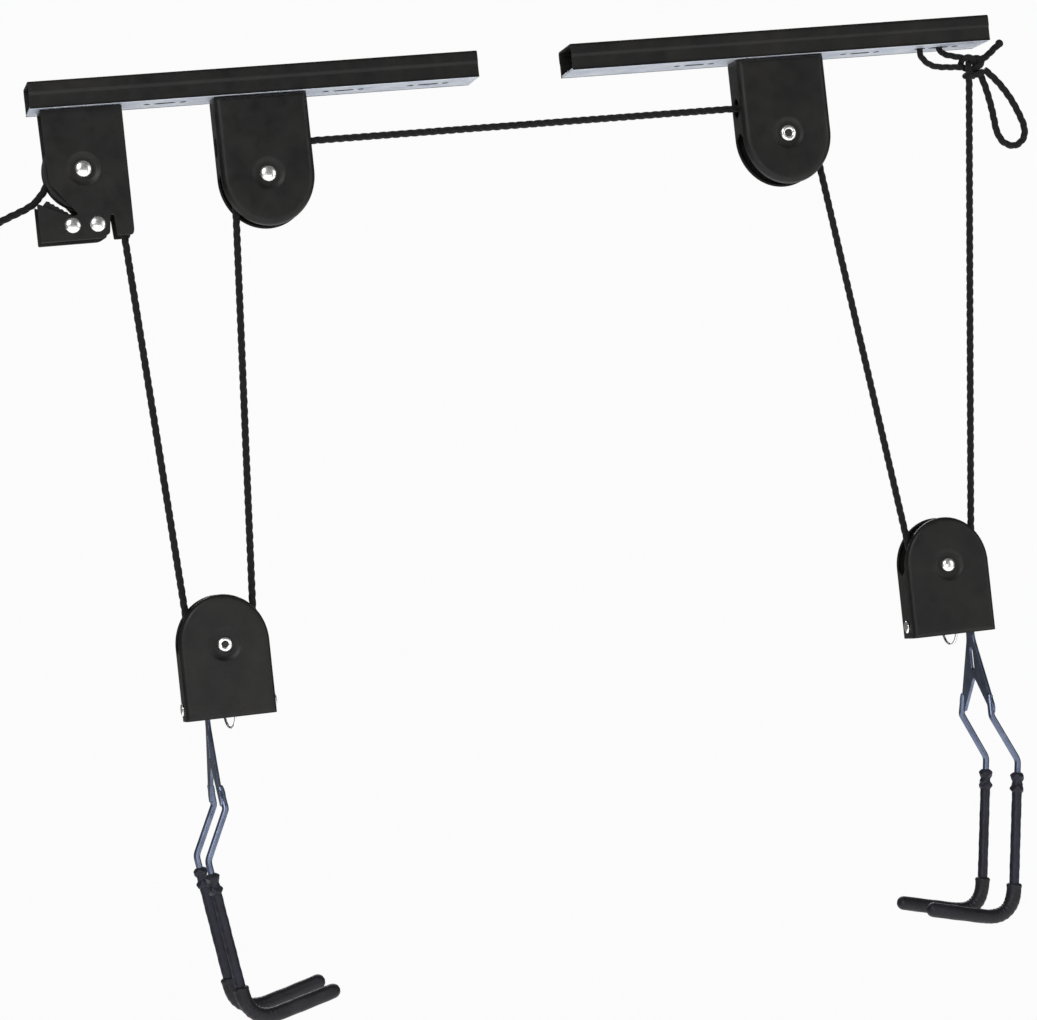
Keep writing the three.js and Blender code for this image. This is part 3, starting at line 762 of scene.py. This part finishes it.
# ---- stamped shells ----------------------------------------------------------------------------
EDGE = 3.2
DISH = ((11.5, 0), (10.8, 0.12), (9.6, 0.75), (8.6, 1.1), (7.2, 1.2), (5.4, 1.2), (3.6, 1.2))
SKIN = 1.3
END_LIP = 11.2


def shell_outline(height, inset):
    """A D-shaped outline about the axle: a half round end below, straight sides up to height."""
    half, drop = BLOCK_HALF - inset, BLOCK_ROUND - inset
    top = height - inset
    sides = np.linspace(top, 0, 30, endpoint=False)
    left = [(-half, v, "side") for v in sides]
    turns = np.linspace(math.pi, 2 * math.pi, 44)
    bottom = [(half * math.cos(a), drop * math.sin(a), "round") for a in turns]
    right = [(half, v, "side") for v in sides[::-1]]
    end = [(x, top, "end") for x in np.linspace(half, -half, 22)[1:-1]]
    return left + bottom + right + end


def stamped_shell(name, middle, axle_z, height, up, facing, wall_to, end_lip=0.0):
    """One pressed half of a block: rim, rounded edge, flat face and the dish round its axle.

    up is +1 where the straight end is above the axle. wall_to(part, v) is how near the wall
    comes to y = 0. end_lip is the least y of the straight end, so that a hook can swing past."""
    rows = []
    rim = shell_outline(height, 0)
    rows.append([(x, v, wall_to(part, v)) for x, v, part in rim])
    for turn in np.linspace(0, math.pi / 2, 6):
        loop = shell_outline(height, EDGE * (1 - math.cos(turn)))
        depth = BLOCK_DEPTH - EDGE * (1 - math.sin(turn))
        rows.append([(x, v, max(depth, end_lip) if part == "end" else depth) for x, v, part in loop])
    inner = shell_outline(height, EDGE)
    for share in np.linspace(0, 1, 7)[1:]:
        loop = []
        for x, v, _ in inner:
            a = math.atan2(v, x)
            ring_x, ring_v = DISH[0][0] * math.cos(a), DISH[0][0] * math.sin(a)
            loop.append((x + (ring_x - x) * share, v + (ring_v - v) * share, BLOCK_DEPTH))
        rows.append(loop)
    for radius, depth in DISH[1:]:
        rows.append([(x / math.hypot(x, v) * radius, v / math.hypot(x, v) * radius, BLOCK_DEPTH - depth)
                     for x, v, _ in inner])
    vertices = [(middle + x, facing * y, axle_z + up * v) for row in rows for x, v, y in row]
    count = len(rim)
    faces = []
    for row in range(len(rows) - 1):
        for k in range(count):
            n = (k + 1) % count
            faces.append((row * count + k, row * count + n, (row + 1) * count + n, (row + 1) * count + k))
    shell = new_object(name, vertices, faces)
    skin = shell.modifiers.new("skin", "SOLIDIFY")
    flat = max(shell.data.polygons, key=lambda p: p.area)
    skin.offset = -1 if flat.normal.y * facing > 0 else 1
    skin.thickness = MM * SKIN
    return applied(shell)


def fixed_wall(part, v):
    """Fixed blocks: closed sides with a window for the rope, and a top flange to the middle."""
    if part == "round":
        return BLOCK_DEPTH - EDGE - 0.8
    if part == "side":
        window = max(0.0, 1 - abs(v - PITCH) / 7.0)
        low = max(0.0, 1 - v / 5.0)
        opened = 5.5 * math.sqrt(min(1.0, 2 * window))
        return max(MIDDLE_GAP, opened, (BLOCK_DEPTH - EDGE - 0.8) * low)
    return MIDDLE_GAP


def traveller_wall(part, v):
    """Travelling blocks: closed sides, notched for the hook bar, and open at both ends."""
    if part == "side":
        notch = max(0.0, 1 - abs(v - BAR_DROP) / 3.4)
        low = max(0.0, 1 - v / 5.0)
        opened = 3.2 * math.sqrt(min(1.0, 2 * notch))
        return max(MIDDLE_GAP, opened, (BLOCK_DEPTH - EDGE - 0.8) * low)
    return END_LIP if part == "end" else BLOCK_DEPTH - EDGE - 0.8


def rivet(name, x, z, head, hollow):
    """A rivet through both shells: domed, or with the rolled open end of a tubular one."""
    seat, top = BLOCK_DEPTH - 1.0, BLOCK_DEPTH + 2.1
    if hollow:
        half = [(0, top - 2.6), (head * 0.4, top - 2.6), (head * 0.45, top - 0.7),
                (head * 0.55, top - 0.1), (head * 0.72, top), (head * 0.9, top - 0.4),
                (head, top - 1.2), (head, seat), (3.0, seat)]
    else:
        half = [(0, top), (head * 0.3, top - 0.06), (head * 0.6, top - 0.35), (head * 0.85, top - 0.95),
                (head, top - 1.9), (head, seat), (3.0, seat)]
    profile = soft_corners([(r, -y) for r, y in half] + [(r, y) for r, y in reversed(half)])
    return lathe(name, profile, (x, 0, z), "y", 40)


def add_rivet(name, x, z, head, hollow, body, replaced):
    piece = finish_piece(rivet(name, x, z, head, hollow), body, "bright_rivet", replaced)
    if hollow:
        # The inside of the rolled open end gets the painted shade colour, standing in for the shade in that
        # recess.
        piece.data.materials.append(MATERIALS["painted_shade"])
        for face in piece.data.polygons:
            from_axis = math.hypot(face.center.x / MM - x, face.center.z / MM - z)
            outside = abs(face.center.y) > MM * (BLOCK_DEPTH - 2)
            face.material_index = int(from_axis < head * 0.42 and outside)


def add_flange_screws(name, middle):
    under = -RAIL_HEIGHT - FLANGE_GAP - SHEET - 0.3
    half = [(0, -1.0), (0.9, -1.1), (1.1, -2.2), (2.6, -1.9), (4, -0.5), (4, 0),
            (2, 0), (2, 5.2), (0, 5.2)]
    for index, (dx, y) in enumerate(((-18, -6), (18, 6)), 1):
        screw = lathe(f"{name}_flange_screw_{index}", soft_corners(half, 0.3),
                      (middle + dx, y, under), "z", 28)
        finish_piece(screw, "rails", "bright_rivet", f"{name}_screw_{index}")


def wheel(name, x, z, body, replaced):
    """A grooved nylon wheel with a hub and a dished web."""
    half = [(3.35, 10.2), (7, 10.2), (7.4, 5.2), (9, 4.2), (19, 4.2), (21, 5.2), (22.4, 6),
            (26, 6), (26, 4.9), (22.5, 3.6), (19.2, 2.9), (18.1, 1.8)]
    groove = [(r, -y) for r, y in half] + [(18, 0)] + [(r, y) for r, y in reversed(half)]
    profile = soft_corners(groove, 0.35)
    finish_piece(lathe(name, profile, (x, 0, z), "y", 72), body, "wheel_nylon", replaced)


def add_fixed_block(side):
    middle = FIXED_X * (1 if side == "right" else -1)
    name = f"{side}_block"
    height = FIXED_DROP - RAIL_HEIGHT - FLANGE_GAP
    for label, facing in (("front", -1), ("rear", 1)):
        shell = stamped_shell(f"{name}_{label}_cover", middle, -FIXED_DROP, height, 1, facing, fixed_wall)
        finish_piece(shell, "rails", "black_paint", f"{name}_{label}_shell")
    add_rivet(f"{name}_rivet", middle, -FIXED_DROP, 5.6, side == "right", "rails", f"{name}_axle")
    add_flange_screws(name, middle)
    wheel(f"{name}_sheave", middle, -FIXED_DROP, f"{name}_wheel", f"{name}_wheel")


def add_traveller(side):
    middle = TRAVELLER_X[side]
    body = f"{side}_traveller"
    for label, facing in (("front", -1), ("rear", 1)):
        shell = stamped_shell(f"{body}_{label}_cover", middle, TRAVELLER_Z, TRAVELLER_BELOW, -1,
                              facing, traveller_wall, END_LIP)
        finish_piece(shell, body, "black_paint", f"{body}_{label}_shell")
    add_rivet(f"{body}_rivet", middle, TRAVELLER_Z, 4.9, side == "left", body, f"{body}_axle")
    wheel(f"{body}_sheave", middle, TRAVELLER_Z, f"{body}_wheel", f"{body}_wheel")
    reach = BLOCK_HALF + 0.3
    half = [(0, reach + 1.5), (3.2, reach + 1.4), (4.2, reach + 0.7), (4.2, reach), (2.5, reach)]
    profile = soft_corners([(r, -x) for r, x in half] + [(r, x) for r, x in reversed(half)], 0.3)
    bar = lathe(f"{body}_bar", profile, (middle, 0, TRAVELLER_Z - BAR_DROP), "x", 32)
    finish_piece(bar, body, "bright_rivet", f"{body}_hook_bar")
    turns = np.linspace(0, 2 * math.pi, 73)[:-1]
    lean = -math.pi / 3
    ring = np.array([(middle + 6 * math.cos(a) * math.cos(lean), 6 * math.cos(a) * math.sin(lean),
                      TRAVELLER_Z - BAR_DROP - 5 + 10.2 * math.sin(a)) for a in turns])
    keeper = sweep(f"{body}_keeper", np.vstack([ring, ring[:1]]), lambda s, angles: 0.85, 14)
    finish_piece(keeper, body, "bright_rivet", f"{body}_keeper_ring")


for side in ("left", "right"):
    add_fixed_block(side)
    add_traveller(side)


# ---- rope lock ---------------------------------------------------------------------------------
def add_lock():
    top, left, right, foot, bottom = -RAIL_HEIGHT - FLANGE_GAP, -326, -272.5, -334, -105
    corners = [(left, top), (left + 1, -66), (-308, -88), (-312, -89), (foot, -79), (foot, bottom),
               (-294, bottom), (-288.5, bottom + 3), (-287, -90), (-285, -90), (-284, bottom + 1),
               (right - 1, bottom + 1), (right, bottom + 4), (right, top)]
    radii = [1, 2, 1.2, 1.2, 1, 1, 2, 1, 0.9, 0.9, 1, 2, 2, 1]
    middle = (left + right) / 2
    mouth = 10.8
    for label, facing in (("front", -1), ("rear", 1)):
        holes = [circle(LOCK_X, -LOCK_DROP, mouth, 48)] + [circle(x, z, 3.4, 24) for x, z in LOCK_RIVETS]
        y = facing * (BLOCK_DEPTH - SHEET / 2)
        face = flat_plate(f"lock_{label}_face", rounded(corners, radii), SHEET, 0.55, upright(y), holes)
        profile = [(radius, facing * (BLOCK_DEPTH - depth)) for radius, depth in DISH]
        under = [(radius, facing * (BLOCK_DEPTH - depth - 1.2)) for radius, depth in reversed(DISH)]
        dish = lathe(f"lock_{label}_dish", profile + under, (LOCK_X, 0, -LOCK_DROP), "y", 48)
        low, high = sorted((facing * MIDDLE_GAP, facing * (BLOCK_DEPTH - 0.6)))
        wall_edge = rounded([(low, bottom + 6), (high, bottom + 6), (high, top), (low, top)], 1)
        wall = flat_plate(f"lock_{label}_wall", wall_edge, SHEET, 0.3, across(right - SHEET / 2))
        flange_edge = rounded([(left, low), (right, low), (right, high), (left, high)], 1)
        flange = flat_plate(f"lock_{label}_flange", flange_edge, SHEET, 0.3, level(top - SHEET / 2))
        piece = merged(f"lock_{label}_cover", [face, dish, wall, flange])
        finish_piece(piece, "rails", "black_paint", f"lock_{label}_shell")
    add_rivet("lock_axle_rivet", LOCK_X, -LOCK_DROP, 5.6, False, "rails", "lock_axle")
    for index, (x, z) in enumerate(LOCK_RIVETS, 1):
        add_rivet(f"lock_side_rivet_{index}", x, z, 5.4, False, "rails", f"lock_rivet_{index}")
    add_flange_screws("lock", middle)
    wheel("lock_sheave", LOCK_X, -LOCK_DROP, "lock_wheel", "lock_wheel")

    px, pz = LOCK_RIVETS[0]
    start, end, count = Vector((-327.5, -77.5)), Vector((-311, -88.8)), 6
    teeth = []
    for k in range(count):
        teeth.append(tuple(start.lerp(end, k / count)))
        crest = start.lerp(end, (k + 0.75) / count)
        teeth.append((crest.x, crest.y + 0.9))
    wedge = teeth + [(px + 6, pz + 2), (px + 6, pz - 5), (px - 4, pz - 5), (-330.5, -92), (-331.5, -82)]
    jaw = flat_plate("toothed_jaw", rounded(wedge, 0.35, 3), 16, 0.3, upright(0), [circle(px, pz, 3.3, 28)])
    finish_piece(jaw, "lock_jaw", "black_paint", "lock_jaw")


add_lock()


# ---- double hooks ------------------------------------------------------------------------------
def weld_radius(d, angles):
    """A rippled bead that thins towards both ends."""
    ripple = 0.85 + 0.15 * abs(math.sin(d * 1.6))
    return 1.7 * ripple * math.sqrt(max(0.05, math.sin(math.pi * min(1, max(0, d / 13.1)))))


def add_hook(side, s):
    """s is +1 for a hook that opens towards +X."""
    px, pz = TRAVELLER_X[side] - s * HOOK_OFFSET, TRAVELLER_Z - BAR_DROP
    body = f"{side}_hook"

    def at(u, y, z):
        return Vector((px + s * u, y, pz + z))

    half = [(3.6, 4.8), (5.4, -1), (5.6, -8), (6.6, -14), (30.5, -59), (29.2, -64),
            (25.3, -64), (3.5, -42.5)]
    outline = half + [(0, -40)] + [(-y, z) for y, z in reversed(half)] + [(0, 6)]
    radii = [2, 2, 3, 6, 2, 1.4, 1.4, 2, 2, 2, 1.4, 1.4, 2, 6, 3, 2, 2, 2]
    slot = [(y, z) for z, y in slot_outline(-27, 0, 16, 6)]
    web_axes = across(px) @ Matrix.Translation((0, MM * pz, 0))
    openings = [circle(0, 0, 3.1, 28), slot]
    web = flat_plate(f"{body}_web", rounded(outline, radii), 2.2, 0.5, web_axes, openings)
    parts = [web]
    for label, side_sign in (("front", -1), ("rear", 1)):
        y = side_sign * HOOK_SPREAD
        kink, elbow, tip = at(-13, y, -98), at(3, y, -206), at(62, y, -191)
        start = at(0.4, side_sign * 25, -52)
        path = filleted_path([start, at(2, side_sign * 29, -66), kink, elbow, tip], [4, 8, HOOK_BEND], 1.5)
        parts.append(sweep(f"{body}_{label}_rod", path, lambda d, a: ROD, 20))
        weld_ends = [at(1.6, side_sign * 24.5, -50.5), at(1.8, side_sign * 28.4, -63)]
        weld_path = filleted_path(weld_ends, [], 0.7)
        parts.append(sweep(f"{body}_{label}_weld", weld_path, weld_radius, 14))

        down, out = (elbow - kink).normalized(), (tip - elbow).normalized()
        trim = HOOK_BEND * math.tan(down.angle(out) / 2)
        top, seam = kink + down * 9, elbow - down * (trim + 3)

        def thin_radius(d, angles, seed=side_sign * s):
            wave = 0.07 * np.sin(2 * angles + d * 0.35 + seed) + 0.06 * math.sin(d * 0.9 + seed)
            lip = 0.45 * math.exp(-((d - 0.6) / 0.9) ** 2)
            return THIN_SLEEVE - 0.15 + wave + lip

        thin_path = evenly(np.array([list(top), list(seam + down * 1.5)]), 0.9)
        thin = sweep(f"{body}_{label}_thin_sleeve", thin_path, thin_radius, 28)

        def collar_radius(d, angles, seed=side_sign + 2 * s):
            crumple = 0.3 * np.sin(3 * angles + d * 0.8 + seed) + 0.25 * np.sin(5 * angles - d * 1.3 + seed)
            bulge = 4.1 + 0.75 * math.sin(d * 0.62 + 0.4) + crumple
            return bulge * math.sqrt(max(0.3, 1 - ((d - 7) / 8.2) ** 4))

        collar_path = evenly(np.array([list(top - down * 0.6), list(top + down * 13.4)]), 0.45)
        collar = sweep(f"{body}_{label}_crumpled_end", collar_path, collar_radius, 36)
        sleeve = merged(f"{body}_{label}_upper_sleeve", [thin, collar])
        finish_piece(sleeve, body, "thin_sleeve", f"{body}_{label}_sleeve")

        grip_path = filleted_path([seam, elbow, tip + out * 2], [HOOK_BEND], 0.7)
        total = float(np.linalg.norm(np.diff(grip_path, axis=0), axis=1).sum())

        def grip_radius(d, angles, total=total, seed=side_sign * 1.7 + s):
            tip_left = total - d
            dome = math.sqrt(max(0.0004, 1 - max(0.0, 1 - tip_left / GRIP) ** 2))
            mouth = 0.35 * math.exp(-((d - 1.2) / 1.4) ** 2) - 0.9 * math.exp(-(d / 0.6) ** 2)
            in_bend = math.exp(-((d - 22) / 12) ** 2)
            wrinkle = 0.16 * in_bend * math.sin(d * 1.9 + seed)
            wander = 0.1 * np.sin(angles * 2 + d * 0.11 + seed) + 0.07 * math.sin(d * 0.4 + seed)
            return (GRIP - 0.25 + mouth + wrinkle + wander) * dome

        grip = sweep(f"{body}_{label}_dipped_grip", grip_path, grip_radius, 32)
        finish_piece(grip, body, "soft_grip", f"{body}_{label}_grip")
    finish_piece(merged(f"{body}_bent_frame", parts), body, "blue_zinc", f"{body}_frame")


add_hook("left", 1)
add_hook("right", -1)
